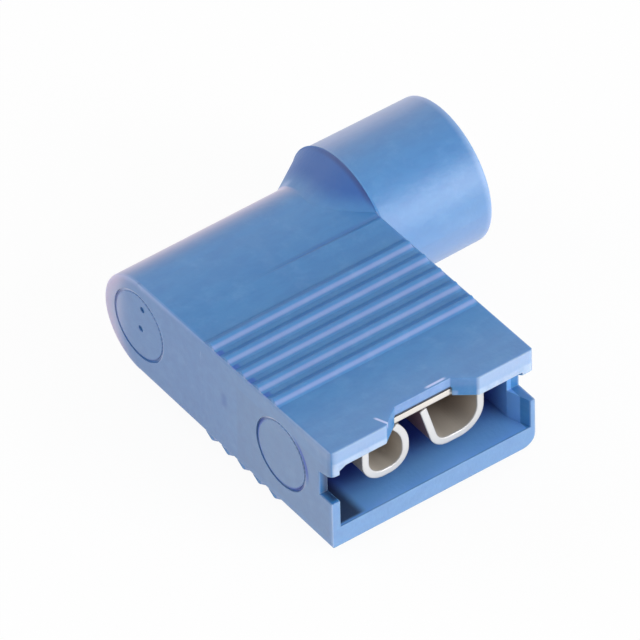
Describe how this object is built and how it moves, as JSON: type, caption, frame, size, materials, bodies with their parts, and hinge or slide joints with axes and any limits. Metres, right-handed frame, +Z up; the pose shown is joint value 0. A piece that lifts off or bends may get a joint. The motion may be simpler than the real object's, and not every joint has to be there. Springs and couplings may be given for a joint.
{
  "type": "insulated female flag spade terminal",
  "caption": "Blue nylon-insulated flag terminal: female receptacle for a 6.3 by 0.8 mm tab, wire barrel for 1.5 to 2.5 mm2 at right angles to it, with an insulation-support sleeve.",
  "frame": {"origin": "on the wire barrel's axis, in the middle of the housing's width", "axes": "+X points out of the tab mouth, +Y points out of the wire entry along the wire barrel's axis, +Z points up through the broad face over the receptacle's base"},
  "size_m": [0.0195, 0.0185, 0.008],
  "materials": {
    "nylon": "satin moulded nylon",
    "tinned_brass": "bright tin plate",
    "sleeve_brass": "drawn brass"
  },
  "bodies": {
    "root": {"housing": "nylon", "terminal": "tinned_brass", "sleeve": "sleeve_brass"}
  },
  "joints": []
}
